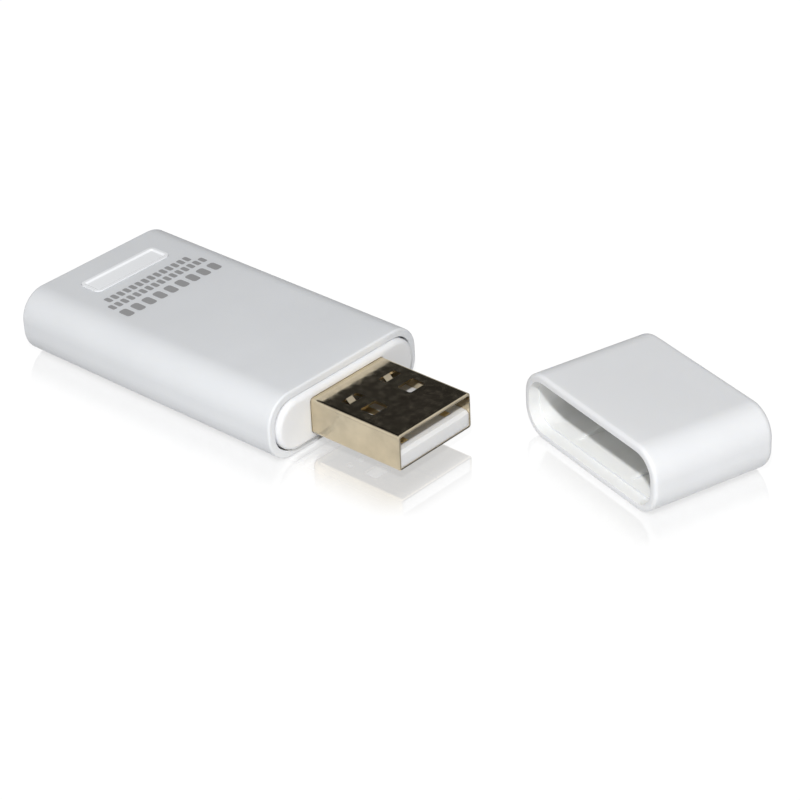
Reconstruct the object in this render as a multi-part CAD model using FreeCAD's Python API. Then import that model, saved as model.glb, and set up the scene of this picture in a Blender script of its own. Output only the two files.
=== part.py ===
import FreeCAD, Part
import math
import os

# A wireless plug-in module: a white sleeve with a USB plug, and its cap pulled off beside it.
# Millimetres. The origin is the middle of the sleeve's underside, +X points to the plug, +Z is up.

# Sleeve
case_length = 40.5
case_width = 24.2
case_height = 8.2
side_flat = 1.2
case_wall = 0.9
case_end_wall = 1.2
case_end_round = 0.4
rim_round = 0.25
opening_flat = 1.0

# Badge plate let into the top of the sleeve
badge_length = 3.3
badge_width = 11.8
badge_corner = 0.7
badge_from_end = 3.7
badge_seat_depth = 0.3
badge_seat_gap = 0.03
badge_proud = 0.12
badge_frame = 0.35
badge_slope = 0.25
badge_field_depth = 0.15

# Collar that closes the sleeve round the plug
collar_proud = 0.6
collar_depth = 4.6
collar_gap = 0.05
collar_flat = 0.1
collar_round = 0.6
snap_offset = 6.8
snap_width = 3.0
snap_thickness = 0.7
snap_length = 4.0
hook_height = 0.35
hook_length = 1.4
pocket_gap = 0.1

# Plug shell, folded from sheet
plug_width = 12.0
plug_height = 4.5
plug_reach = 13.0
plug_length = 18.75
plug_corner = 0.45
plug_sheet = 0.3
plug_tip_bevel = 0.15
plug_slot_gap = 0.06
window_length = 2.0
window_width = 2.5
window_offset = 3.05
window_back = 5.16
window_bevel = 0.2
lance_length = 1.1
lance_width = 2.5
lance_strip = 1.0
lance_back = 8.8
lance_depth = 0.45
lance_pocket_gap = 0.05
seam_gap = 0.08
dovetail_length = 2.4
dovetail_reach = 1.0
dovetail_flare = 0.4
leg_length = 1.2
leg_reach = 1.2
leg_drop = 1.9
leg_from_back = 0.9
leg_slot_gap = 0.1

# Plug insulator and its four contacts
tongue_thickness = 1.95
tongue_side_gap = 0.04
tongue_set_back = 0.1
tongue_lead_in = 0.35
block_length = 4.4
contact_width = 1.0
contact_thickness = 0.2
contact_groove_gap = 0.02
power_contact_offset = 3.5
data_contact_offset = 1.0
power_contact_back = 1.3
data_contact_back = 2.3
contact_drop = 0.7
contact_foot = 1.6
contact_stand_off = 0.25

# Main board and the rails that carry it
board_thickness = 1.0
board_side_gap = 0.4
board_end_gap = 0.2
board_front_gap = 0.25
board_notch_gap = 0.25
prong_entry = 1.9
prong_play = 0.1
rail_reach = 1.0
rail_height = 0.7
rail_play = 0.1

# Radio board on the main board
radio_length = 16.0
radio_width = 16.0
radio_thickness = 0.8
radio_from_end = 0.3
radio_corner = 0.4
edge_pad_count = 5
edge_pad_pitch = 2.0
edge_pad_radius = 0.35
edge_pad_sides = 6
can_length = 9.4
can_width = 12.0
can_height = 1.8
can_sheet = 0.2
can_from_front = 0.7
can_corner_slit = 0.3
can_vent_radius = 0.4
can_vent_sides = 12
antenna_trace = 0.6
antenna_height = 0.1
antenna_turns = 5
antenna_pitch = 2.4
antenna_swing = 3.2
antenna_from_end = 0.7

# Small parts on the boards
package_bevel = 0.12
lead_thickness = 0.15
lead_rise = 0.35
lead_width = 0.4
lead_reach = 0.7
lead_stand_off = 0.05
lead_inset_share = 0.125
regulator_length = 6.5
regulator_width = 3.5
regulator_height = 1.6
regulator_pitch = 2.3
small_length = 2.9
small_width = 1.5
small_height = 1.1
small_pitch = 0.95
chip_end_share = 0.22
chip_end_skin = 0.04
capacitor_count = 4
capacitor_length = 2.0
capacitor_width = 1.25
capacitor_height = 0.9
capacitor_pitch = 1.6
resistor_count = 4
resistor_length = 1.6
resistor_width = 0.8
resistor_height = 0.45
resistor_pitch = 1.6
transistor_count = 2
transistor_pitch = 4.4
row_gap = 1.1
part_edge_gap = 1.6
row_clearance = 0.7
radio_chip_size = 6.0
radio_chip_height = 0.9
memory_chip_length = 3.0
memory_chip_width = 4.0
memory_chip_height = 0.8
crystal_length = 2.5
crystal_width = 2.0
crystal_height = 0.6
can_part_gap = 0.45

# Cap, pulled off and turned aside
cap_length = 16.0
cap_wall = 0.9
cap_end_wall = 1.7
cap_end_round = 0.85
cap_rim_round = 0.45
cap_opening_corner = 2.6
cap_rebate_depth = 1.4
cap_inner_step = 0.3
cap_end_step = 0.1
cap_mouth_x = 48.23
cap_mouth_y = 8.61
cap_turn = 254.17
grip_rib_offset = 5.0
grip_rib_width = 0.6
grip_rib_start = 2.0
grip_rib_ramp = 3.0
grip_rib_gap = 0.05

# How far a cutting solid runs past the face that it opens, and how close two places count as one
over = 1.0
tolerance = 1e-4

# Places worked out from the sizes
case_corner = (case_height - side_flat) / 2
far_x = -case_length / 2
rim_x = case_length / 2
collar_face_x = rim_x + collar_proud
collar_back_x = rim_x - collar_depth
tip_x = collar_face_x + plug_reach
shell_back_x = tip_x - plug_length
middle_z = case_height / 2
plug_bottom = middle_z - plug_height / 2
plug_top = middle_z + plug_height / 2
tongue_bottom = plug_bottom + plug_sheet
tongue_top = tongue_bottom + tongue_thickness
board_top = tongue_top - contact_drop
board_bottom = board_top - board_thickness
opening_width = case_width - 2 * case_wall
opening_height = case_height - 2 * case_wall
opening_corner = (opening_height - opening_flat) / 2
nose_width = opening_width - 2 * collar_gap
nose_height = opening_height - 2 * collar_gap
nose_bottom = case_wall + collar_gap
collar_corner = (nose_height - collar_flat) / 2
nose_top = nose_bottom + nose_height
board_width = opening_width - 2 * board_side_gap
board_back_x = far_x + case_end_wall + board_end_gap
board_front_x = shell_back_x - board_front_gap
prong_front_x = collar_back_x + prong_entry
notch_half = plug_width / 2 + board_notch_gap
radio_back_x = board_back_x + radio_from_end
radio_front_x = radio_back_x + radio_length
radio_top = board_top + radio_thickness
can_front_x = radio_front_x - can_from_front
can_middle_x = can_front_x - can_length / 2
contact_foot_x = board_front_x - contact_foot - contact_thickness
near_row_x = contact_foot_x - row_clearance - small_length / 2
middle_row_x = near_row_x - capacitor_length / 2 - row_gap - regulator_length / 2
part_limit_y = board_width / 2 - part_edge_gap


def vec(x, y, z):
    return FreeCAD.Vector(x, y, z)


def box(x0, x1, y0, y1, z0, z1):
    return Part.makeBox(x1 - x0, y1 - y0, z1 - z0, vec(x0, y0, z0))


def rounded_wire(half_a, half_b, radius):
    """Closed outline of a rounded rectangle in the XY plane, centred on the origin."""
    in_a = half_a - radius
    in_b = half_b - radius
    diagonal = radius * math.sqrt(0.5)
    corners = [(in_a, in_b, 1, 1), (-in_a, in_b, -1, 1), (-in_a, -in_b, -1, -1), (in_a, -in_b, 1, -1)]
    edges = []
    for number, (a, b, sign_a, sign_b) in enumerate(corners):
        side_point = vec(a + sign_a * radius, b, 0)
        end_point = vec(a, b + sign_b * radius, 0)
        start, stop = (side_point, end_point) if number % 2 == 0 else (end_point, side_point)
        middle = vec(a + sign_a * diagonal, b + sign_b * diagonal, 0)
        edges.append(Part.Arc(start, middle, stop).toShape())
        after = corners[(number + 1) % 4]
        if number % 2 == 0:
            following = vec(after[0], after[1] + after[3] * radius, 0)
        else:
            following = vec(after[0] + after[2] * radius, after[1], 0)
        if stop.distanceToPoint(following) > tolerance:
            edges.append(Part.LineSegment(stop, following).toShape())
    return Part.Wire(edges)


def rounded_plate(length, width, radius, x, y, z, thickness):
    """Flat rounded plate, centred on x and y, that rises from z."""
    plate = Part.Face(rounded_wire(length / 2, width / 2, radius)).extrude(vec(0, 0, thickness))
    plate.translate(vec(x, y, z))
    return plate


def rounded_bar(x0, x1, width, height, radius, bottom):
    """Bar along X with a rounded rectangular section, centred on y = 0."""
    section = rounded_wire(height / 2, width / 2, radius)
    section.rotate(vec(0, 0, 0), vec(0, 1, 0), -90)
    section.translate(vec(x0, 0, bottom + height / 2))
    return Part.Face(section).extrude(vec(x1 - x0, 0, 0))


def edges_at_x(shape, x):
    """Edges of a shape that lie wholly in one plane across X."""
    found = []
    for edge in shape.Edges:
        span = edge.BoundBox
        if abs(span.XMin - x) < tolerance and abs(span.XMax - x) < tolerance:
            found.append(edge)
    return found


def edges_at_z(shape, z):
    """Edges of a shape that lie wholly at one height."""
    found = []
    for edge in shape.Edges:
        span = edge.BoundBox
        if abs(span.ZMin - z) < tolerance and abs(span.ZMax - z) < tolerance:
            found.append(edge)
    return found


def side_profile(points, y0, y1):
    """Solid made from an outline of (x, z) points, drawn across from y0 to y1."""
    corners = [vec(x, y0, z) for x, z in points]
    outline = Part.makePolygon(corners + [corners[0]])
    return Part.Face(outline).extrude(vec(0, y1 - y0, 0))


def top_profile(points, z0, z1):
    """Solid made from an outline of (x, y) points, raised from z0 to z1."""
    corners = [vec(x, y, z0) for x, y in points]
    outline = Part.makePolygon(corners + [corners[0]])
    return Part.Face(outline).extrude(vec(0, 0, z1 - z0))


def mirror_y(shape):
    return shape.mirror(vec(0, 0, 0), vec(0, 1, 0))


def mirror_height(shape):
    return shape.mirror(vec(0, 0, middle_z), vec(0, 0, 1))


def rail_pair():
    """Two ribs on each side wall, with the board's slot between them."""
    outer_y = case_width / 2
    inner_y = opening_width / 2 - rail_reach
    lower = box(far_x, collar_back_x, inner_y, outer_y, board_bottom - rail_height, board_bottom)
    upper_bottom = board_top + rail_play
    upper = box(far_x, collar_back_x, inner_y, outer_y, upper_bottom, upper_bottom + rail_height)
    return [lower, upper, mirror_y(lower), mirror_y(upper)]


def snap_pocket():
    """Recess in the upper wall that the collar's hook clicks into."""
    back = collar_back_x - snap_length - pocket_gap
    front = collar_back_x - snap_length + hook_length + pocket_gap
    half = snap_width / 2 + pocket_gap
    ceiling = case_height - case_wall
    top = nose_top + hook_height + pocket_gap
    return box(back, front, snap_offset - half, snap_offset + half, ceiling - case_wall, top)


def badge_middle_x():
    return far_x + badge_from_end + badge_length / 2


def badge_seat():
    length = badge_length + 2 * badge_seat_gap
    width = badge_width + 2 * badge_seat_gap
    bottom = case_height - badge_seat_depth
    return rounded_plate(length, width, badge_corner, badge_middle_x(), 0, bottom, 2 * badge_seat_depth)


def outer_case():
    body = rounded_bar(far_x, rim_x, case_width, case_height, case_corner, 0)
    body = body.makeFillet(case_end_round, edges_at_x(body, far_x))
    body = body.makeFillet(rim_round, edges_at_x(body, rim_x))
    cavity_back = far_x + case_end_wall
    cavity = rounded_bar(cavity_back, rim_x + over, opening_width, opening_height, opening_corner, case_wall)
    for rail in rail_pair():
        cavity = cavity.cut(rail)
    body = body.cut(cavity)
    pocket = snap_pocket()
    for one in (pocket, mirror_y(pocket), mirror_height(pocket), mirror_height(mirror_y(pocket))):
        body = body.cut(one)
    return body.cut(badge_seat())


def badge_field(top):
    """Sunk field of the badge, with sides that slope down from the frame."""
    wires = []
    for side in (-1, 1):
        inset = badge_frame - side * badge_slope
        radius = badge_corner - inset
        wire = rounded_wire(badge_length / 2 - inset, badge_width / 2 - inset, radius)
        wire.translate(vec(badge_middle_x(), 0, top + side * badge_field_depth))
        wires.append(wire)
    return Part.makeLoft(wires, True, True)


def badge_plate():
    """Bare plate with a raised frame, seated in the top of the sleeve."""
    bottom = case_height - badge_seat_depth
    thickness = badge_seat_depth + badge_proud
    plate = rounded_plate(badge_length, badge_width, badge_corner, badge_middle_x(), 0, bottom, thickness)
    return plate.cut(badge_field(bottom + thickness))


def snap_arm():
    """Springy arm behind the collar, with a ramped hook on its outer face."""
    back = collar_back_x - snap_length
    y0 = snap_offset - snap_width / 2
    y1 = snap_offset + snap_width / 2
    front = collar_back_x + over
    reach = rounded_bar(back, front, nose_width, nose_height, collar_corner, nose_bottom)
    arm = reach.common(box(back, front, y0, y1, nose_top - snap_thickness, nose_top + over))
    root = nose_top - snap_thickness / 2
    ramp = [(back, root), (back, nose_top), (back + hook_length / 2, nose_top + hook_height)]
    stop = [(back + hook_length, nose_top + hook_height), (back + hook_length, root)]
    return arm.fuse(side_profile(ramp + stop, y0, y1))


def prong_slot():
    """Hollow in the back of the collar that takes one prong of the board and the plug's leg."""
    half = board_width / 2 + prong_play
    bottom = board_top + plug_sheet - leg_drop - prong_play
    top = board_top + plug_sheet + prong_play
    front = prong_front_x + prong_play
    return box(collar_back_x - over, front, plug_width / 2 + plug_slot_gap, half, bottom, top)


def end_collar():
    """Glossy insert: a pillowed face round the plug, and a nose that snaps into the sleeve."""
    nose = rounded_bar(collar_back_x, collar_face_x, nose_width, nose_height, collar_corner, nose_bottom)
    nose = nose.makeFillet(collar_round, edges_at_x(nose, collar_face_x))
    arm = snap_arm()
    for one in (arm, mirror_y(arm), mirror_height(arm), mirror_height(mirror_y(arm))):
        nose = nose.fuse(one)
    slot_width = plug_width + 2 * plug_slot_gap
    slot_height = plug_height + 2 * plug_slot_gap
    slot_corner = plug_corner + plug_slot_gap
    slot_bottom = plug_bottom - plug_slot_gap
    back = collar_back_x - over
    front = collar_face_x + over
    slot = rounded_bar(back, front, slot_width, slot_height, slot_corner, slot_bottom)
    nose = nose.cut(slot)
    nose = nose.cut(prong_slot())
    nose = nose.cut(mirror_y(prong_slot()))
    return nose.removeSplitter()


def window_cut(y):
    """Window with cut corners through both broad faces of the plug shell."""
    x1 = tip_x - window_back
    x0 = x1 - window_length
    y0 = y - window_width / 2
    y1 = y + window_width / 2
    cut = window_bevel
    outline = [(x0 + cut, y0), (x1 - cut, y0), (x1, y0 + cut), (x1, y1 - cut)]
    outline += [(x1 - cut, y1), (x0 + cut, y1), (x0, y1 - cut), (x0, y0 + cut)]
    return top_profile(outline, plug_bottom - over, plug_top + over)


def lance_slot(y):
    """Opening in the upper face round a pressed strip."""
    x1 = tip_x - lance_back
    half = lance_width / 2
    return box(x1 - lance_length, x1, y - half, y + half, plug_top - 2 * plug_sheet, plug_top + over)


def lance_strip_pressed(y):
    """Strip across the opening that is pressed into the shell as a V, to grip the insulator."""
    x1 = tip_x - lance_back
    x0 = x1 - lance_length
    middle = (x0 + x1) / 2
    upper = [(x0 - plug_sheet, plug_top), (x0, plug_top), (middle, plug_top - lance_depth)]
    upper += [(x1, plug_top), (x1 + plug_sheet, plug_top)]
    lower = [(x, z - plug_sheet) for x, z in reversed(upper)]
    return side_profile(upper + lower, y - lance_strip / 2, y + lance_strip / 2)


def lance_pocket(y):
    """Notch under the insulator that a pressed strip of the lower face locks into."""
    x1 = tip_x - lance_back + lance_pocket_gap
    x0 = x1 - lance_length - 2 * lance_pocket_gap
    half = lance_strip / 2 + lance_pocket_gap
    top = tongue_bottom + lance_depth + lance_pocket_gap
    return box(x0, x1, y - half, y + half, tongue_bottom - over, top)


def seam_cut():
    """Narrow joint along the underside where the folded sheet meets, locked by a dovetail."""
    middle = (collar_face_x + tip_x) / 2
    near = middle - dovetail_length / 2
    far = middle + dovetail_length / 2
    gap = seam_gap
    path = [
        (shell_back_x - over, 0),
        (near, 0),
        (near - dovetail_flare, dovetail_reach),
        (far + dovetail_flare, dovetail_reach),
        (far, 0),
        (tip_x + over, 0),
    ]
    forward = [(x, y + gap / 2) for x, y in path]
    backward = [(x, y - gap / 2) for x, y in reversed(path)]
    inner = [backward[0], (far - gap, -gap / 2)]
    inner += [(far + dovetail_flare - gap, dovetail_reach - gap / 2)]
    inner += [(near - dovetail_flare + gap, dovetail_reach - gap / 2)]
    inner += [(near + gap, -gap / 2), backward[-1]]
    return top_profile(forward + inner, plug_bottom - over, plug_bottom + 2 * plug_sheet)


def plug_leg():
    """Foot bent out of the shell's side: it lies on the board's prong and goes down through it."""
    x0 = shell_back_x + leg_from_back
    x1 = x0 + leg_length
    side = plug_width / 2
    flange = box(x0, x1, side - plug_sheet, side + leg_reach, board_top, board_top + plug_sheet)
    bottom = board_top + plug_sheet - leg_drop
    leg = box(x0, x1, side + leg_reach - plug_sheet, side + leg_reach, bottom, board_top + plug_sheet)
    return flange.fuse(leg)


def plug_shell():
    shell = rounded_bar(shell_back_x, tip_x, plug_width, plug_height, plug_corner, plug_bottom)
    shell = shell.makeChamfer(plug_tip_bevel, edges_at_x(shell, tip_x))
    inner_width = plug_width - 2 * plug_sheet
    inner_height = plug_height - 2 * plug_sheet
    inner_corner = plug_corner - plug_sheet
    back = shell_back_x - over
    hollow = rounded_bar(back, tip_x + over, inner_width, inner_height, inner_corner, tongue_bottom)
    shell = shell.cut(hollow)
    for side in (-1, 1):
        shell = shell.cut(window_cut(side * window_offset))
        slot = lance_slot(side * window_offset)
        shell = shell.cut(slot).cut(mirror_height(slot))
        strip = lance_strip_pressed(side * window_offset)
        shell = shell.fuse(strip).fuse(mirror_height(strip))
    shell = shell.cut(seam_cut())
    shell = shell.fuse(plug_leg())
    shell = shell.fuse(mirror_y(plug_leg()))
    return shell.removeSplitter()


def contact_front_x(y):
    back = power_contact_back if abs(y) > data_contact_offset else data_contact_back
    return tip_x - back


def plug_tongue():
    """White insulator: a block that fills the shell's back and a tongue in its lower half."""
    half = plug_width / 2 - plug_sheet - tongue_side_gap
    front = tip_x - tongue_set_back
    block_top = plug_top - plug_sheet - tongue_side_gap
    block_front = shell_back_x + block_length
    corner = plug_corner - plug_sheet
    outline = [
        (shell_back_x, tongue_bottom),
        (front, tongue_bottom),
        (front, tongue_top - tongue_lead_in),
        (front - tongue_lead_in, tongue_top),
        (block_front, tongue_top),
        (block_front, block_top),
        (shell_back_x, block_top),
    ]
    tongue = side_profile(outline, -half, half)
    envelope = rounded_bar(shell_back_x, front, 2 * half, block_top - tongue_bottom, corner, tongue_bottom)
    tongue = tongue.common(envelope)
    groove_half = contact_width / 2 + contact_groove_gap
    floor = tongue_top - contact_thickness
    for y in contact_places().values():
        front = contact_front_x(y)
        groove = box(shell_back_x - over, front, y - groove_half, y + groove_half, floor, tongue_top)
        tongue = tongue.cut(groove)
    for side in (-1, 1):
        tongue = tongue.cut(lance_pocket(side * window_offset))
    return tongue


def contact_places():
    """The four contacts across the tongue, by what each one carries."""
    return {
        "contact_supply": power_contact_offset,
        "contact_data_minus": data_contact_offset,
        "contact_data_plus": -data_contact_offset,
        "contact_ground": -power_contact_offset,
    }


def plug_contact(y):
    """Flat strip in the tongue's groove that steps down behind the plug to a foot on the board."""
    front = contact_front_x(y)
    top = tongue_top
    under = tongue_top - contact_thickness
    bend = shell_back_x - contact_stand_off - contact_thickness
    foot = bend - contact_foot
    outline = [
        (front, under),
        (front, top - contact_thickness / 2),
        (front - contact_thickness, top),
        (bend - contact_thickness, top),
        (bend - contact_thickness, board_top + contact_thickness),
        (foot, board_top + contact_thickness),
        (foot, board_top),
        (bend, board_top),
        (bend, under),
    ]
    return side_profile(outline, y - contact_width / 2, y + contact_width / 2)


def main_board():
    """Board with two prongs that reach past the plug into the collar."""
    half = board_width / 2
    outline = [
        (board_back_x, -half),
        (prong_front_x, -half),
        (prong_front_x, -notch_half),
        (board_front_x, -notch_half),
        (board_front_x, notch_half),
        (prong_front_x, notch_half),
        (prong_front_x, half),
        (board_back_x, half),
    ]
    board = top_profile(outline, board_bottom, board_top)
    x0 = shell_back_x + leg_from_back - leg_slot_gap
    x1 = x0 + leg_length + 2 * leg_slot_gap
    y1 = plug_width / 2 + leg_reach + leg_slot_gap
    y0 = y1 - plug_sheet - 2 * leg_slot_gap
    slot = box(x0, x1, y0, y1, board_bottom - over, board_top + over)
    board = board.cut(slot)
    return board.cut(mirror_y(slot))


def round_hole(x, y, radius, sides, z0, z1):
    """Upright prism with many sides that cuts a small round hole."""
    turns = [2 * math.pi * number / sides for number in range(sides)]
    outline = [(x + radius * math.cos(turn), y + radius * math.sin(turn)) for turn in turns]
    return top_profile(outline, z0, z1)


def edge_pad(x, y):
    """Half-round hollow for one pad in the radio board's edge."""
    return round_hole(x, y, edge_pad_radius, edge_pad_sides, board_top - over, radio_top + over)


def radio_board():
    """Small board with hollow edge pads along both sides."""
    middle = (radio_back_x + radio_front_x) / 2
    plate = rounded_plate(radio_length, radio_width, radio_corner, middle, 0, board_top, radio_thickness)
    for number in range(edge_pad_count):
        x = can_middle_x + (number - (edge_pad_count - 1) / 2) * edge_pad_pitch
        for side in (-1, 1):
            plate = plate.cut(edge_pad(x, side * radio_width / 2))
    return plate


def printed_antenna():
    """Copper track that winds across the radio board's free end."""
    x0 = radio_back_x + antenna_from_end
    x1 = x0 + antenna_swing
    bottom = radio_top
    top = radio_top + antenna_height
    first = -(antenna_turns - 1) / 2 * antenna_pitch
    track = box(x0, x1 + antenna_trace, first, first + antenna_trace, bottom, top)
    for number in range(1, antenna_turns):
        y = first + number * antenna_pitch
        before = y - antenna_pitch
        x = x0 if number % 2 == 1 else x1
        track = track.fuse(box(x, x + antenna_trace, before, y + antenna_trace, bottom, top))
        track = track.fuse(box(x0, x1 + antenna_trace, y, y + antenna_trace, bottom, top))
    return track.removeSplitter()


def shield_can():
    """Folded metal lid over the radio chips, open below, with slit corners and two vents."""
    x0 = can_front_x - can_length
    half = can_width / 2
    top = radio_top + can_height
    can = box(x0, can_front_x, -half, half, radio_top, top)
    inner = half - can_sheet
    x1 = can_front_x - can_sheet
    can = can.cut(box(x0 + can_sheet, x1, -inner, inner, radio_top - over, top - can_sheet))
    slit_top = top - 2 * can_sheet
    for x in (x0, can_front_x):
        for y in (-half, half):
            slit = can_corner_slit
            can = can.cut(box(x - slit, x + slit, y - slit, y + slit, radio_top - over, slit_top))
    for side in (-1, 1):
        y = side * can_width / 4
        can = can.cut(round_hole(can_middle_x, y, can_vent_radius, can_vent_sides, top - over, top + over))
    return can


def moulded_package(length, width, height, x, y, bottom):
    """Plain block with bevelled upper edges."""
    body = box(x - length / 2, x + length / 2, y - width / 2, y + width / 2, bottom, bottom + height)
    return body.makeChamfer(package_bevel, edges_at_z(body, bottom + height))


def gull_lead(x, y, side, bottom, reach):
    """Bent lead that leaves a package's side at mid height and lands on the board."""
    thickness = lead_thickness
    rise = lead_rise
    points = [
        (0, rise + thickness),
        (reach / 2 + thickness, rise + thickness),
        (reach / 2 + thickness, thickness),
        (reach, thickness),
        (reach, 0),
        (reach / 2, 0),
        (reach / 2, rise),
        (0, rise),
    ]
    corners = [vec(x - lead_width / 2, y + side * along, bottom + up) for along, up in points]
    outline = Part.makePolygon(corners + [corners[0]])
    return Part.Face(outline).extrude(vec(lead_width, 0, 0))


def leaded_part(length, width, height, x, y, left_leads, right_leads):
    """Small package with gull leads on its two long sides, at the given places along X."""
    part = moulded_package(length, width, height, x, y, board_top + lead_stand_off)
    sink = width * lead_inset_share
    for along in left_leads:
        part = part.fuse(gull_lead(x + along, y + width / 2 - sink, 1, board_top, lead_reach + sink))
    for along in right_leads:
        part = part.fuse(gull_lead(x + along, y - width / 2 + sink, -1, board_top, lead_reach + sink))
    return part.removeSplitter()


def chip_part(length, width, height, x, y):
    """Two-ended chip with slightly taller metal ends."""
    body = box(x - length / 2, x + length / 2, y - width / 2, y + width / 2, board_top, board_top + height)
    end = length * chip_end_share
    for side in (-1, 1):
        outer = x + side * length / 2
        inner = outer - side * end
        x0 = min(outer, inner)
        half = width / 2 + chip_end_skin
        top = board_top + height + chip_end_skin
        body = body.fuse(box(x0, x0 + end, y - half, y + half, board_top, top))
    return body.removeSplitter()


def voltage_regulator():
    """Package with three leads on one side and one on the other."""
    leads = [-regulator_pitch, 0, regulator_pitch]
    x = middle_row_x
    y = -(part_limit_y - lead_reach - regulator_width / 2)
    return leaded_part(regulator_length, regulator_width, regulator_height, x, y, leads, [0])


def surge_protector():
    """Small package with two leads on each side, just behind the plug."""
    leads = [-small_pitch, small_pitch]
    return leaded_part(small_length, small_width, small_height, near_row_x, 0, leads, leads)


def level_transistor(y):
    leads = [-small_pitch, small_pitch]
    return leaded_part(small_length, small_width, small_height, middle_row_x, y, [0], leads)


def radio_chip():
    y = -can_width / 2 + can_sheet + can_part_gap + radio_chip_size / 2
    return moulded_package(radio_chip_size, radio_chip_size, radio_chip_height, can_middle_x, y, radio_top)


def memory_chip():
    x = can_front_x - can_sheet - can_part_gap - memory_chip_length / 2
    y = can_width / 2 - can_sheet - can_part_gap - memory_chip_width / 2
    return moulded_package(memory_chip_length, memory_chip_width, memory_chip_height, x, y, radio_top)


def radio_crystal():
    x = can_front_x - can_length + can_sheet + can_part_gap + crystal_length / 2
    y = can_width / 2 - can_sheet - can_part_gap - crystal_width / 2
    return moulded_package(crystal_length, crystal_width, crystal_height, x, y, radio_top)


def grip_rib(y):
    """Rib on the cap's floor that ramps up to the plug's underside."""
    start = -grip_rib_start
    full = start - grip_rib_ramp
    end = -cap_length + cap_end_wall
    base = cap_wall
    height = plug_bottom - grip_rib_gap
    outline = [
        (start, base),
        (start, cap_wall + cap_inner_step),
        (full, height),
        (end - cap_wall / 2, height),
        (end - cap_wall / 2, base),
    ]
    return side_profile(outline, y - grip_rib_width / 2, y + grip_rib_width / 2)


def protective_cap():
    """Cap with a rebated mouth for the collar and ribs that grip the plug's broad faces."""
    cap = rounded_bar(-cap_length, 0, case_width, case_height, case_corner, 0)
    cap = cap.makeFillet(cap_end_round, edges_at_x(cap, -cap_length))
    cap = cap.makeFillet(cap_rim_round, edges_at_x(cap, 0))
    mouth_width = case_width - 2 * cap_wall
    mouth_height = case_height - 2 * cap_wall
    rebate = rounded_bar(-cap_rebate_depth, over, mouth_width, mouth_height, cap_opening_corner, cap_wall)
    cavity_width = mouth_width - 2 * cap_end_step
    cavity_height = mouth_height - 2 * cap_inner_step
    cavity_corner = cap_opening_corner - cap_inner_step
    cavity_back = -cap_length + cap_end_wall
    cavity_bottom = cap_wall + cap_inner_step
    cavity = rounded_bar(cavity_back, over, cavity_width, cavity_height, cavity_corner, cavity_bottom)
    for side in (-1, 1):
        rib = grip_rib(side * grip_rib_offset)
        cavity = cavity.cut(rib)
        cavity = cavity.cut(mirror_height(rib))
    cap = cap.cut(cavity)
    cap = cap.cut(rebate)
    cap.rotate(vec(0, 0, 0), vec(0, 0, 1), cap_turn)
    cap.translate(vec(cap_mouth_x, cap_mouth_y, 0))
    return cap


def repeated_parts():
    """The small parts that come more than once, each in a node of its own."""
    parts = {}
    size = (capacitor_length, capacitor_width, capacitor_height)
    for number in range(capacitor_count):
        y = -(part_limit_y - capacitor_width / 2 - number * capacitor_pitch)
        parts["capacitor_%d" % (number + 1)] = chip_part(*size, near_row_x, y)
    size = (resistor_length, resistor_width, resistor_height)
    for number in range(resistor_count):
        y = part_limit_y - resistor_width / 2 - number * resistor_pitch
        parts["resistor_%d" % (number + 1)] = chip_part(*size, near_row_x, y)
    for number in range(transistor_count):
        y = part_limit_y - lead_reach - small_width / 2 - number * transistor_pitch
        parts["level_transistor_%d" % (number + 1)] = level_transistor(y)
    return parts


def all_parts():
    parts = {
        "outer_case": outer_case(),
        "badge_plate": badge_plate(),
        "end_collar": end_collar(),
        "protective_cap": protective_cap(),
        "plug_shell": plug_shell(),
        "plug_tongue": plug_tongue(),
        "main_board": main_board(),
        "radio_board": radio_board(),
        "printed_antenna": printed_antenna(),
        "shield_can": shield_can(),
        "radio_chip": radio_chip(),
        "memory_chip": memory_chip(),
        "radio_crystal": radio_crystal(),
        "voltage_regulator": voltage_regulator(),
        "surge_protector": surge_protector(),
    }
    for name, y in contact_places().items():
        parts[name] = plug_contact(y)
    parts.update(repeated_parts())
    return parts


os.makedirs("parts", exist_ok=True)
for name, shape in all_parts().items():
    shape.exportStep("parts/%s.step" % name)
    print(name, "solids", len(shape.Solids), "volume %.3f" % shape.Volume, "valid", shape.isValid())
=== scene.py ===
import math

import bmesh
import bpy
from mathutils import Matrix, Vector


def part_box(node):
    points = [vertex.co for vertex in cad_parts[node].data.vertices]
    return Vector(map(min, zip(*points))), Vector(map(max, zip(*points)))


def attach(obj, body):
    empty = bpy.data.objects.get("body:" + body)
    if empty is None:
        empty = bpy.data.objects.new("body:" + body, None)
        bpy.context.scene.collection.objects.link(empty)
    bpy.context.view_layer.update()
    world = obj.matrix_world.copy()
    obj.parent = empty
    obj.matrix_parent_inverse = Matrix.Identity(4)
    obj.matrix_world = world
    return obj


# Looks for the plug-in wireless module. Metres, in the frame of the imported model.

MM = 0.001

# Camera, fitted to the outlines of the sleeve, the plug and the cap
CAMERA_PLACE = Vector((0.20862, -0.19205, 0.16359))
CAMERA_AZIMUTH = math.radians(43.122)
CAMERA_ELEVATION = math.radians(30.871)
CAMERA_ROLL = math.radians(-2.641)
SENSOR_WIDTH = 36.0
LENS_LENGTH = 125.5
CLIP_START = 0.01
CLIP_END = 20.0

# Key lamp
KEY_AZIMUTH = math.radians(45.0)
KEY_ELEVATION = math.radians(45.5)
KEY_DISTANCE = 0.42
KEY_SIZE = 0.02
KEY_POWER = 1.42

# Weak light of the sky, in front of the object and behind it
SKY_FRONT = 0.38
SKY_BACK = 0.12
SKY_SPAN = 0.7

# Room that metal and gloss show: its levels, the heights where they change, and how far back it darkens
BRIGHT_ROOM = 0.85
DIM_ROOM = 0.032
DARK_ROOM = 0.01
DIM_FROM = 0.10
DIM_TO = 0.50
DARK_FROM = 0.50
DARK_TO = 0.68
BACK_FROM = 0.0
BACK_TO = 0.45

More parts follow.
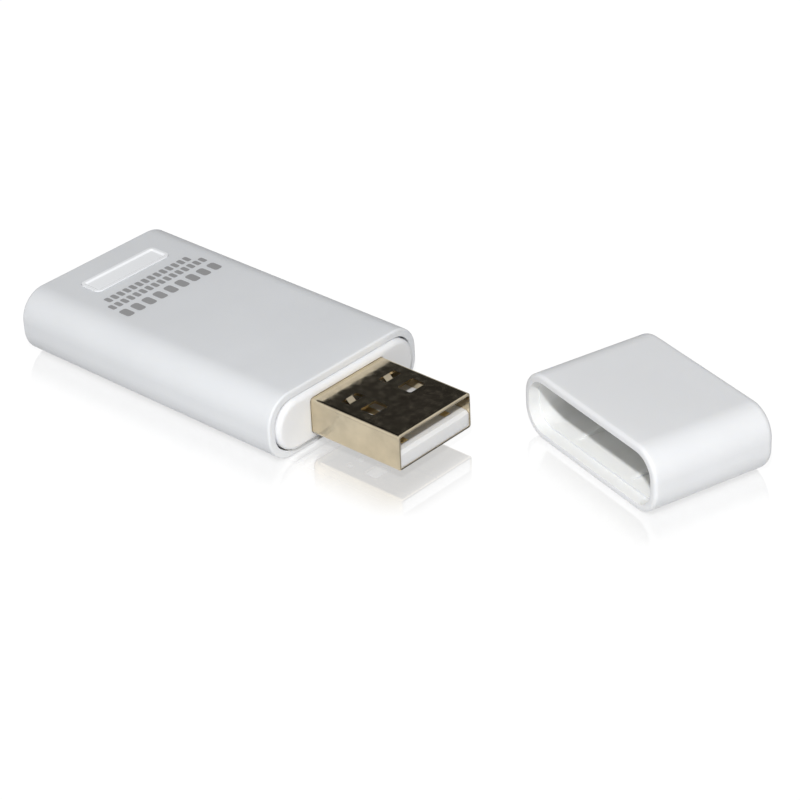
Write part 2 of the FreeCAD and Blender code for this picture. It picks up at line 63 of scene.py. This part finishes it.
# Floor
FLOOR_HALF = 3.0
FLOOR_ALBEDO = 0.78
MIRROR_UNDER_PLUG = 0.41
MIRROR_BESIDE = 0.24
MIRROR_FAR = 0.02
MIRROR_REACH = 6.0 * MM
FLOOR_SHADED = 0.10
FLOOR_WHITE = 1.03

# How far the cap is turned on the floor
CAP_TURN = math.radians(254.17)

# Noises of the finishes: features a metre, and layers of detail
PLASTIC_DRIFT = (90, 3.0)
PLASTIC_GRAIN = (7000, 3.0)
PLATING_DRIFT = (250, 3.0)
ROLLING_MARKS = (2500, 2.0)
PLUG_DRIFT = (420, 5.0)
PLUG_STAINS = (1300, 5.0)
PLUG_DENTS = (380, 6.0)
BOARD_DRIFT = (300, 2.0)
CHIP_GRAIN = (6000, 2.0)

# Levels of noise between which the tone wanders, and how far apart the two tones are
TONE_FROM = 0.35
TONE_TO = 0.65
PLASTIC_SPREAD = 0.03
PLATING_SPREAD = 0.08
BOARD_SPREAD = 0.3
CHIP_SPREAD = 0.2

# Moulded plastics: glow is the share of light that passes into them, grain the height of the surface's grain
PLASTICS = {
    "case_plastic": {"colour": (0.735, 0.75, 0.77), "roughness": 0.54, "grain": 0.004 * MM, "glow": 0.3},
    "badge_plastic": {"colour": (0.95, 0.965, 0.985), "roughness": 0.26, "grain": 0.002 * MM, "glow": 0.0},
    "collar_plastic": {"colour": (0.795, 0.80, 0.81), "roughness": 0.44, "grain": 0.001 * MM, "glow": 0.5},
    "cap_plastic": {"colour": (0.77, 0.78, 0.795), "roughness": 0.50, "grain": 0.004 * MM, "glow": 0.5},
    "insulator_plastic": {"colour": (0.74, 0.74, 0.74), "roughness": 0.35, "grain": 0.004 * MM, "glow": 0.5},
    "package_plastic": {"colour": (0.02, 0.02, 0.022), "roughness": 0.5, "grain": 0.004 * MM, "glow": 0.0},
    "print_ink": {"colour": (0.33, 0.33, 0.335), "roughness": 0.45, "grain": 0.001 * MM, "glow": 0.0},
}
# Painted light: the cap's inside is made whiter to stand in for light bounced round within it
CAP_INSIDE_PAINTED_LIGHT = (0.85, 0.855, 0.845)
PLASTIC_SPECULAR = 0.35
PLASTIC_ROUGHNESS_PLAY = 0.04

# How deep light spreads in the plastics, and its reach for red, green and blue
PLASTIC_DEPTH = 1.2 * MM
PLASTIC_REACH = (1.0, 0.95, 0.85)

# Plated sheet metals, with rolling marks stretched along X
METALS = {
    "contact_metal": {"colour": (0.82, 0.66, 0.38), "roughness": 0.45},
    "antenna_copper": {"colour": (0.62, 0.30, 0.14), "roughness": 0.3},
    "can_metal": {"colour": (0.62, 0.62, 0.60), "roughness": 0.28},
    "crystal_metal": {"colour": (0.66, 0.65, 0.61), "roughness": 0.25},
}
PLATING_ROUGHNESS_PLAY = 0.03
ROLLING_STRETCH = (0.08, 1, 1)
ROLLING_HEIGHT = 0.0015 * MM

# Plug shell: its plating, the stains and dents of handling, and the edge where its sheet was cut, darkened
# as bare cut steel and, fully along the lower lip, as painted shade
PLUG_COLOUR = (0.69, 0.60, 0.44)
PLUG_DARKEST = 0.88
PLUG_LIGHTEST = 1.05
STAIN_FROM = 0.35
STAIN_TO = 0.75
CLEAN_ROUGHNESS = 0.10
STAINED_ROUGHNESS = 0.22
DENT_HEIGHT = 0.024 * MM
# Dark of the bare cut steel at the mouth, also used as painted shade on its lower lip
CUT_STEEL_AND_SHADE_COLOUR = (0.10, 0.095, 0.085)
CUT_DEPTH = 0.02 * MM
CUT_SHARE_ABOVE = 0.5
SHEET = 0.3 * MM
PLUG_HEIGHT = 4.5 * MM

# Boards: green mask over the weave of glass cloth
BOARD_COLOUR = (0.012, 0.12, 0.045)
BOARD_ROUGHNESS = 0.35
WEAVE_SCALE = 2400
WEAVE_HEIGHT = 0.004 * MM
WEAVE_STRENGTH = 0.4

# Ceramic chips with tinned ends; the ends start at a share of the length from the middle
CHIPS = {
    "capacitor_body": {"colour": (0.42, 0.27, 0.15), "node": "capacitor_1"},
    "resistor_body": {"colour": (0.03, 0.03, 0.035), "node": "resistor_1"},
}
TIN_COLOUR = (0.72, 0.71, 0.68)
TIN_START = 0.28
CHIP_ROUGHNESS = 0.45
CHIP_GRAIN_HEIGHT = 0.003 * MM

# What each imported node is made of; numbered nodes go by the start of their name
MADE_OF = {
    "outer_case": "case_plastic",
    "badge_plate": "badge_plastic",
    "end_collar": "collar_plastic",
    "protective_cap": "cap_plastic",
    "plug_shell": "plug_metal",
    "plug_tongue": "insulator_plastic",
    "contact": "contact_metal",
    "main_board": "board_laminate",
    "radio_board": "board_laminate",
    "printed_antenna": "antenna_copper",
    "shield_can": "can_metal",
    "radio_chip": "package_plastic",
    "memory_chip": "package_plastic",
    "radio_crystal": "crystal_metal",
    "voltage_regulator": "package_plastic",
    "surge_protector": "package_plastic",
    "level_transistor": "package_plastic",
    "capacitor": "capacitor_body",
    "resistor": "resistor_body",
}

# Print across the top of the sleeve, as plain rows of blocks
MARK_RISE = 0.015 * MM
MARK_SINK = 0.01 * MM
MARK_CORNER_SHARE = 0.3
MARK_CORNER_STEPS = 4
MARK_ROWS = {
    "print_row_large": {"x": -7.1, "y": 0.0, "count": 9, "pitch": 1.78, "length": 1.15, "height": 1.8},
    "print_row_middle": {"x": -9.35, "y": 0.05, "count": 16, "pitch": 0.98, "length": 0.65, "height": 1.15},
    "print_row_end": {"x": -11.0, "y": 0.0, "count": 14, "pitch": 0.98, "length": 0.65, "height": 1.15},
}


def direction(azimuth, elevation):
    """Unit vector from the object towards a place round it; azimuth 0 is -Y and 90 degrees is +X."""
    flat = math.cos(elevation)
    return Vector((math.sin(azimuth) * flat, -math.cos(azimuth) * flat, math.sin(elevation)))


def make_camera():
    back = direction(CAMERA_AZIMUTH, CAMERA_ELEVATION)
    right = Vector((math.cos(CAMERA_AZIMUTH), math.sin(CAMERA_AZIMUTH), 0))
    up = back.cross(right)
    rolled_right = math.cos(CAMERA_ROLL) * right + math.sin(CAMERA_ROLL) * up
    rolled_up = math.cos(CAMERA_ROLL) * up - math.sin(CAMERA_ROLL) * right
    turn = Matrix((rolled_right, rolled_up, back)).transposed()
    data = bpy.data.cameras.new("camera")
    data.sensor_width = SENSOR_WIDTH
    data.lens = LENS_LENGTH
    data.clip_start = CLIP_START
    data.clip_end = CLIP_END
    camera = bpy.data.objects.new("camera", data)
    camera.matrix_world = Matrix.Translation(CAMERA_PLACE) @ turn.to_4x4()
    bpy.context.scene.collection.objects.link(camera)
    bpy.context.scene.camera = camera


def make_key_lamp():
    towards = direction(KEY_AZIMUTH, KEY_ELEVATION)
    data = bpy.data.lights.new("key_lamp", "AREA")
    data.shape = "DISK"
    data.size = KEY_SIZE
    data.energy = KEY_POWER
    lamp = bpy.data.objects.new("key_lamp", data)
    lamp.location = KEY_DISTANCE * towards
    lamp.rotation_euler = towards.to_track_quat("Z", "Y").to_euler()
    bpy.context.scene.collection.objects.link(lamp)


def put(links, socket, source):
    """Links a socket, or sets its plain value, to an input."""
    if isinstance(source, bpy.types.NodeSocket):
        links.new(source, socket)
    else:
        socket.default_value = source


def maths(nodes, links, operation, *sources):
    """Math node over sockets and plain numbers; returns its output."""
    node = nodes.new("ShaderNodeMath")
    node.operation = operation
    for socket, source in zip(node.inputs, sources):
        put(links, socket, source)
    return node.outputs["Value"]


def vector_maths(nodes, links, operation, *sources):
    """Vector math node over sockets and plain vectors; returns the output that the operation fills."""
    node = nodes.new("ShaderNodeVectorMath")
    node.operation = operation
    for socket, source in zip(node.inputs, sources):
        put(links, socket, source)
    gives_number = operation in ("DOT_PRODUCT", "LENGTH")
    return node.outputs["Value" if gives_number else "Vector"]


def mix(nodes, links, factor, start, stop):
    """Number that goes from one source to the other as the factor goes from zero to one."""
    node = nodes.new("ShaderNodeMix")
    put(links, node.inputs["Factor"], factor)
    put(links, node.inputs["A"], start)
    put(links, node.inputs["B"], stop)
    return node.outputs["Result"]


def ramp(nodes, links, source, start, stop, low, high):
    """Smooth change from one level to another over a span of the source."""
    node = nodes.new("ShaderNodeMapRange")
    node.interpolation_type = "SMOOTHSTEP"
    node.inputs["From Min"].default_value = start
    node.inputs["From Max"].default_value = stop
    put(links, node.inputs["Value"], source)
    put(links, node.inputs["To Min"], low)
    put(links, node.inputs["To Max"], high)
    return node.outputs["Result"]


def split_axes(nodes, links, source):
    """The X, Y and Z of a vector, as the outputs of a node."""
    node = nodes.new("ShaderNodeSeparateXYZ")
    links.new(source, node.inputs["Vector"])
    return node.outputs


def room_level(nodes, links, height, back):
    """What metal and gloss see: a bright room, dark behind the object and darker still overhead there."""
    dark = ramp(nodes, links, height, DARK_FROM, DARK_TO, DIM_ROOM, DARK_ROOM)
    behind = ramp(nodes, links, height, DIM_FROM, DIM_TO, BRIGHT_ROOM, dark)
    return ramp(nodes, links, back, BACK_FROM, BACK_TO, BRIGHT_ROOM, behind)


def world_level(nodes, links):
    """A weak sky, a room for gloss to show, and plain white for the camera and the mirror image."""
    path = nodes.new("ShaderNodeLightPath").outputs
    place = nodes.new("ShaderNodeTexCoord").outputs["Generated"]
    backwards = (-math.sin(KEY_AZIMUTH), math.cos(KEY_AZIMUTH), 0)
    back = vector_maths(nodes, links, "DOT_PRODUCT", place, backwards)
    height = split_axes(nodes, links, place)["Z"]
    sky = ramp(nodes, links, back, -SKY_SPAN, SKY_SPAN, SKY_FRONT, SKY_BACK)
    room = room_level(nodes, links, height, back)
    lit = mix(nodes, links, path["Is Glossy Ray"], sky, room)
    seen = maths(nodes, links, "MAXIMUM", path["Is Camera Ray"], path["Is Singular Ray"])
    clear = maths(nodes, links, "MAXIMUM", seen, path["Is Transmission Ray"])
    return mix(nodes, links, clear, lit, 1.0)


def make_world():
    world = bpy.data.worlds.new("world")
    world.use_nodes = True
    bpy.context.scene.world = world
    nodes = world.node_tree.nodes
    links = world.node_tree.links
    nodes.clear()
    background = nodes.new("ShaderNodeBackground")
    background.inputs["Color"].default_value = (1, 1, 1, 1)
    links.new(world_level(nodes, links), background.inputs["Strength"])
    out = nodes.new("ShaderNodeOutputWorld")
    links.new(background.outputs["Background"], out.inputs["Surface"])


def open_light(nodes, links):
    """What an unshadowed white patch of floor gives back, worked out from its distance to the key lamp."""
    towards = direction(KEY_AZIMUTH, KEY_ELEVATION)
    place = nodes.new("ShaderNodeNewGeometry").outputs["Position"]
    ray = vector_maths(nodes, links, "SUBTRACT", KEY_DISTANCE * towards, place)
    facing = vector_maths(nodes, links, "DOT_PRODUCT", ray, towards)
    length = vector_maths(nodes, links, "LENGTH", ray)
    # Distance squared, and one more distance under each of the two cosines
    spread = maths(nodes, links, "POWER", length, 4)
    height = KEY_DISTANCE * towards.z
    facing_side = maths(nodes, links, "MAXIMUM", facing, 0)
    lamp = maths(nodes, links, "DIVIDE", facing_side, spread)
    lamp = maths(nodes, links, "MULTIPLY", lamp, KEY_POWER * height / math.pi ** 2)
    return maths(nodes, links, "ADD", lamp, (SKY_FRONT + SKY_BACK) / 2)


def footprint(node, turn):
    """Middle and half size, along turned axes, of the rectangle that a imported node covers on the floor."""
    spin = Matrix.Rotation(-turn, 2)
    points = [spin @ (node.matrix_world @ vertex.co).to_2d() for vertex in node.data.vertices]
    low = Vector([min(point[axis] for point in points) for axis in range(2)])
    high = Vector([max(point[axis] for point in points) for axis in range(2)])
    middle = Matrix.Rotation(turn, 2) @ ((low + high) / 2)
    return middle, (high - low) / 2


def clear_distance(nodes, links, node, turn):
    """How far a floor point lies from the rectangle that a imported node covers."""
    middle, half = footprint(node, turn)
    local = nodes.new("ShaderNodeMapping")
    local.vector_type = "TEXTURE"
    local.inputs["Location"].default_value = (*middle, 0)
    local.inputs["Rotation"].default_value = (0, 0, turn)
    links.new(nodes.new("ShaderNodeNewGeometry").outputs["Position"], local.inputs["Vector"])
    folded = vector_maths(nodes, links, "ABSOLUTE", local.outputs["Vector"])
    past = vector_maths(nodes, links, "SUBTRACT", folded, (*half, 0))
    outside = vector_maths(nodes, links, "MAXIMUM", past, (0, 0, 0))
    return vector_maths(nodes, links, "LENGTH", outside)


def mirror_strength(nodes, links, parts):
    """The floor's gloss: strong under the plug, weaker beside the sleeve and the cap, faint elsewhere."""
    strength = MIRROR_FAR
    for name, turn, near in (
        ("outer_case", 0.0, MIRROR_BESIDE),
        ("protective_cap", CAP_TURN, MIRROR_BESIDE),
        ("plug_shell", 0.0, MIRROR_UNDER_PLUG),
    ):
        distance = clear_distance(nodes, links, parts[name], turn)
        here = ramp(nodes, links, distance, 0.0, MIRROR_REACH, near, MIRROR_FAR)
        strength = maths(nodes, links, "MAXIMUM", strength, here)
    return strength


def matt(nodes, level):
    """Matt grey shader; returns its output."""
    node = nodes.new("ShaderNodeBsdfDiffuse")
    node.inputs["Color"].default_value = (level, level, level, 1)
    return node.outputs["BSDF"]


def add_shaders(nodes, links, first, second):
    node = nodes.new("ShaderNodeAddShader")
    links.new(first, node.inputs[0])
    links.new(second, node.inputs[1])
    return node.outputs["Shader"]


def floor_as_seen(nodes, links, parts):
    """Shadow and mirror image on a floor that is plain white where neither falls."""
    mirror = nodes.new("ShaderNodeBsdfGlossy")
    mirror.inputs["Roughness"].default_value = 0.0
    gloss = mirror_strength(nodes, links, parts)
    links.new(gloss, mirror.inputs["Color"])
    lit = maths(nodes, links, "MULTIPLY", open_light(nodes, links), FLOOR_SHADED)
    given = maths(nodes, links, "ADD", lit, gloss)
    missing = maths(nodes, links, "SUBTRACT", FLOOR_WHITE, given)
    fill = nodes.new("ShaderNodeEmission")
    links.new(missing, fill.inputs["Strength"])
    layered = add_shaders(nodes, links, matt(nodes, FLOOR_SHADED), mirror.outputs["BSDF"])
    return add_shaders(nodes, links, layered, fill.outputs["Emission"])


def floor_material(parts):
    """White gloss floor for the camera, and lit paper for all other rays."""
    material = bpy.data.materials.new("floor_white")
    material.use_nodes = True
    material.cycles.emission_sampling = "NONE"
    nodes = material.node_tree.nodes
    links = material.node_tree.links
    nodes.clear()
    path = nodes.new("ShaderNodeLightPath")
    choice = nodes.new("ShaderNodeMixShader")
    links.new(path.outputs["Is Camera Ray"], choice.inputs["Fac"])
    links.new(matt(nodes, FLOOR_ALBEDO), choice.inputs[1])
    links.new(floor_as_seen(nodes, links, parts), choice.inputs[2])
    out = nodes.new("ShaderNodeOutputMaterial")
    links.new(choice.outputs["Shader"], out.inputs["Surface"])
    return material


def make_floor(parts):
    mesh = bpy.data.meshes.new("floor")
    half = FLOOR_HALF
    corners = [(-half, -half, 0), (half, -half, 0), (half, half, 0), (-half, half, 0)]
    mesh.from_pydata(corners, [], [(0, 1, 2, 3)])
    mesh.materials.append(floor_material(parts))
    floor = bpy.data.objects.new("floor", mesh)
    bpy.context.scene.collection.objects.link(floor)


def surface(name, colour, roughness, metallic=0.0):
    """Principled material with its plain values set; returns the material, its nodes, links and shader."""
    material = bpy.data.materials.new(name)
    material.use_nodes = True
    nodes = material.node_tree.nodes
    links = material.node_tree.links
    shader = nodes["Principled BSDF"]
    shader.inputs["Base Color"].default_value = (*colour, 1)
    shader.inputs["Roughness"].default_value = roughness
    shader.inputs["Metallic"].default_value = metallic
    return material, nodes, links, shader


def own_place(nodes):
    """Place in the object's own space."""
    return nodes.new("ShaderNodeTexCoord").outputs["Object"]


def noise(nodes, links, scale, detail, stretch=(1, 1, 1)):
    """Noise over the object's own space; the scale is in features a metre."""
    mapping = nodes.new("ShaderNodeMapping")
    mapping.inputs["Scale"].default_value = stretch
    links.new(own_place(nodes), mapping.inputs["Vector"])
    texture = nodes.new("ShaderNodeTexNoise")
    texture.inputs["Scale"].default_value = scale
    texture.inputs["Detail"].default_value = detail
    links.new(mapping.outputs["Vector"], texture.inputs["Vector"])
    return texture.outputs["Fac"]


def shade(colour, factor):
    return tuple(min(1.0, part * factor) for part in colour)


def wander(nodes, links, shader, source, low, high):
    """Lets the colour wander between two close tones."""
    tones = nodes.new("ShaderNodeValToRGB")
    ends = tones.color_ramp.elements
    ends[0].position = TONE_FROM
    ends[0].color = (*low, 1)
    ends[1].position = TONE_TO
    ends[1].color = (*high, 1)
    links.new(source, tones.inputs["Fac"])
    links.new(tones.outputs["Color"], shader.inputs["Base Color"])


def wander_round(nodes, links, shader, source, colour, spread):
    """Lets the colour wander evenly to both sides of a tone."""
    wander(nodes, links, shader, source, shade(colour, 1 - spread / 2), shade(colour, 1 + spread / 2))


def lay_over(nodes, links, shader, factor, colour):
    """Lays a plain colour over the shader's colour where the factor is one."""
    blend = nodes.new("ShaderNodeMix")
    blend.data_type = "RGBA"
    blend.inputs["B"].default_value = (*colour, 1)
    links.new(factor, blend.inputs["Factor"])
    links.new(shader.inputs["Base Color"].links[0].from_socket, blend.inputs["A"])
    links.new(blend.outputs["Result"], shader.inputs["Base Color"])


def vary_roughness(nodes, links, shader, source, middle, play):
    reach = nodes.new("ShaderNodeMapRange")
    reach.inputs["To Min"].default_value = middle - play
    reach.inputs["To Max"].default_value = middle + play
    links.new(source, reach.inputs["Value"])
    links.new(reach.outputs["Result"], shader.inputs["Roughness"])


def add_bump(nodes, links, shader, source, height, strength=1.0):
    bump = nodes.new("ShaderNodeBump")
    bump.inputs["Strength"].default_value = strength
    bump.inputs["Distance"].default_value = height
    links.new(source, bump.inputs["Height"])
    links.new(bump.outputs["Normal"], shader.inputs["Normal"])


def moulded_plastic(name, colour, roughness, grain, glow):
    """Moulded plastic with a fine spark-eroded grain."""
    material, nodes, links, shader = surface(name, colour, roughness)
    shader.inputs["Specular IOR Level"].default_value = PLASTIC_SPECULAR
    shader.inputs["Subsurface Weight"].default_value = glow
    shader.inputs["Subsurface Radius"].default_value = PLASTIC_REACH
    shader.inputs["Subsurface Scale"].default_value = PLASTIC_DEPTH
    drift = noise(nodes, links, *PLASTIC_DRIFT)
    fine = noise(nodes, links, *PLASTIC_GRAIN)
    wander_round(nodes, links, shader, drift, colour, PLASTIC_SPREAD)
    vary_roughness(nodes, links, shader, fine, roughness, PLASTIC_ROUGHNESS_PLAY)
    add_bump(nodes, links, shader, fine, grain)
    return material


def inner_faces(nodes, links, node):
    """One on the faces that look towards the middle of a node's box, zero on the others."""
    low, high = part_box(node)
    place = nodes.new("ShaderNodeNewGeometry").outputs
    middle = [(a + b) / 2 for a, b in zip(low, high)]
    outward = vector_maths(nodes, links, "SUBTRACT", place["Position"], middle)
    facing = vector_maths(nodes, links, "DOT_PRODUCT", outward, place["True Normal"])
    return maths(nodes, links, "LESS_THAN", facing, 0)


def paint_light_inside(material, node, inside_light):
    """Paints light on a moulded plastic: whiter on the faces inside a hollow node, standing in for light
    bounced round inside it.
    """
    nodes = material.node_tree.nodes
    links = material.node_tree.links
    lay_over(nodes, links, nodes["Principled BSDF"], inner_faces(nodes, links, node), inside_light)


def plated_metal(name, colour, roughness):
    """Plated sheet with faint rolling marks along X and slightly uneven gloss."""
    material, nodes, links, shader = surface(name, colour, roughness, 1.0)
    drift = noise(nodes, links, *PLATING_DRIFT)
    rolled = noise(nodes, links, *ROLLING_MARKS, ROLLING_STRETCH)
    wander_round(nodes, links, shader, drift, colour, PLATING_SPREAD)
    vary_roughness(nodes, links, shader, rolled, roughness, PLATING_ROUGHNESS_PLAY)
    add_bump(nodes, links, shader, rolled, ROLLING_HEIGHT)
    return material


def cut_edge_and_painted_shade(nodes, links):
    """One on the lower part of the cut edge at the plug's mouth, where it carries painted shade, a share on
    the rest, zero elsewhere.
    """
    tip, _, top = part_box("plug_shell")[1]
    place = split_axes(nodes, links, own_place(nodes))
    at_tip = maths(nodes, links, "GREATER_THAN", place["X"], tip - CUT_DEPTH)
    lower = maths(nodes, links, "LESS_THAN", place["Z"], top - PLUG_HEIGHT + SHEET)
    share = maths(nodes, links, "MULTIPLY_ADD", lower, 1 - CUT_SHARE_ABOVE, CUT_SHARE_ABOVE)
    return maths(nodes, links, "MULTIPLY", at_tip, share)


def plug_metal():
    """Plated shell, stained and dented by handling, with darker bare steel where the sheet was cut and
    painted shade along the lower lip of its mouth.
    """
    material, nodes, links, shader = surface("plug_metal", PLUG_COLOUR, CLEAN_ROUGHNESS, 1.0)
    drift = noise(nodes, links, *PLUG_DRIFT)
    stain = noise(nodes, links, *PLUG_STAINS)
    dents = noise(nodes, links, *PLUG_DENTS)
    wander(nodes, links, shader, drift, shade(PLUG_COLOUR, PLUG_DARKEST), shade(PLUG_COLOUR, PLUG_LIGHTEST))
    # Darker cut steel at the mouth, with painted shade over its whole lower lip
    lay_over(nodes, links, shader, cut_edge_and_painted_shade(nodes, links), CUT_STEEL_AND_SHADE_COLOUR)
    handled = ramp(nodes, links, stain, STAIN_FROM, STAIN_TO, CLEAN_ROUGHNESS, STAINED_ROUGHNESS)
    links.new(handled, shader.inputs["Roughness"])
    add_bump(nodes, links, shader, dents, DENT_HEIGHT)
    return material


def laminate():
    """Green solder mask with the weave of the glass cloth just showing."""
    material, nodes, links, shader = surface("board_laminate", BOARD_COLOUR, BOARD_ROUGHNESS)
    drift = noise(nodes, links, *BOARD_DRIFT)
    wander_round(nodes, links, shader, drift, BOARD_COLOUR, BOARD_SPREAD)
    weave = nodes.new("ShaderNodeTexChecker")
    weave.inputs["Scale"].default_value = WEAVE_SCALE
    links.new(own_place(nodes), weave.inputs["Vector"])
    add_bump(nodes, links, shader, weave.outputs["Fac"], WEAVE_HEIGHT, WEAVE_STRENGTH)
    return material


def two_ended(name, colour, node):
    """Ceramic chip with tinned ends, told apart by the place along the chip."""
    low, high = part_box(node)
    middle = (low[0] + high[0]) / 2
    end = (high[0] - low[0]) * TIN_START
    material, nodes, links, shader = surface(name, colour, CHIP_ROUGHNESS)
    along = split_axes(nodes, links, own_place(nodes))["X"]
    offset = maths(nodes, links, "SUBTRACT", along, middle)
    away = maths(nodes, links, "ABSOLUTE", offset)
    is_end = maths(nodes, links, "GREATER_THAN", away, end)
    fine = noise(nodes, links, *CHIP_GRAIN)
    wander_round(nodes, links, shader, fine, colour, CHIP_SPREAD)
    lay_over(nodes, links, shader, is_end, TIN_COLOUR)
    links.new(is_end, shader.inputs["Metallic"])
    add_bump(nodes, links, shader, fine, CHIP_GRAIN_HEIGHT)
    return material


def make_materials():
    """Every material of the object, by name."""
    materials = {name: moulded_plastic(name, **values) for name, values in PLASTICS.items()}
    # Painted light: the inside of the cap is made whiter than its outside
    paint_light_inside(materials["cap_plastic"], "protective_cap", CAP_INSIDE_PAINTED_LIGHT)
    materials["plug_metal"] = plug_metal()
    materials["board_laminate"] = laminate()
    for name, values in METALS.items():
        materials[name] = plated_metal(name, **values)
    for name, values in CHIPS.items():
        materials[name] = two_ended(name, **values)
    return materials


def dress_nodes(nodes, materials):
    """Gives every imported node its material."""
    for name, node in nodes.items():
        made_of = next(MADE_OF[start] for start in MADE_OF if name.startswith(start))
        node.data.materials.clear()
        node.data.materials.append(materials[made_of])


def block_outline(x, y, length, height):
    """Rounded rectangle, its length along Y, as points round its edge."""
    radius = min(length, height) * MARK_CORNER_SHARE
    half_x = height / 2 - radius
    half_y = length / 2 - radius
    points = []
    for quarter, (side_x, side_y) in enumerate([(1, 1), (-1, 1), (-1, -1), (1, -1)]):
        for step in range(MARK_CORNER_STEPS + 1):
            turn = math.pi / 2 * (quarter + step / MARK_CORNER_STEPS)
            points.append((
                x + side_x * half_x + radius * math.cos(turn),
                y + side_y * half_y + radius * math.sin(turn),
            ))
    return points


def add_block(mesh, outline, bottom, top):
    """Closed low block over an outline."""
    lower = [mesh.verts.new((x, y, bottom)) for x, y in outline]
    upper = [mesh.verts.new((x, y, top)) for x, y in outline]
    mesh.faces.new(upper)
    mesh.faces.new(list(reversed(lower)))
    for number in range(len(outline)):
        after = (number + 1) % len(outline)
        mesh.faces.new((lower[number], lower[after], upper[after], upper[number]))


def print_rows(ink):
    """Rows of plain printed blocks across the top of the sleeve."""
    case_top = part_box("outer_case")[1][2]
    for name, row in MARK_ROWS.items():
        blocks = bmesh.new()
        for number in range(row["count"]):
            y = row["y"] + (number - (row["count"] - 1) / 2) * row["pitch"]
            outline = block_outline(row["x"] * MM, y * MM, row["length"] * MM, row["height"] * MM)
            add_block(blocks, outline, case_top - MARK_SINK, case_top + MARK_RISE)
        data = bpy.data.meshes.new(name)
        blocks.to_mesh(data)
        blocks.free()
        data.materials.append(ink)
        piece = bpy.data.objects.new(name, data)
        bpy.context.scene.collection.objects.link(piece)
        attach(piece, "root")


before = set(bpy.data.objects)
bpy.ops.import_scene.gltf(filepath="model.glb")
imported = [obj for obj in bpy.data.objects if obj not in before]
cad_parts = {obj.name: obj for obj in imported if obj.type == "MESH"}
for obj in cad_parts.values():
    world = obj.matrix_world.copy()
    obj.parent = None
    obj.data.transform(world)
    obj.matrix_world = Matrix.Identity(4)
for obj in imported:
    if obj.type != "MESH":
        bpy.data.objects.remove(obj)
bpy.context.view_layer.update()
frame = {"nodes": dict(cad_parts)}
make_camera()
make_key_lamp()
make_world()
make_floor(frame["nodes"])
finishes = make_materials()
dress_nodes(frame["nodes"], finishes)
print_rows(finishes["print_ink"])
bpy.context.scene.view_settings.view_transform = "Standard"
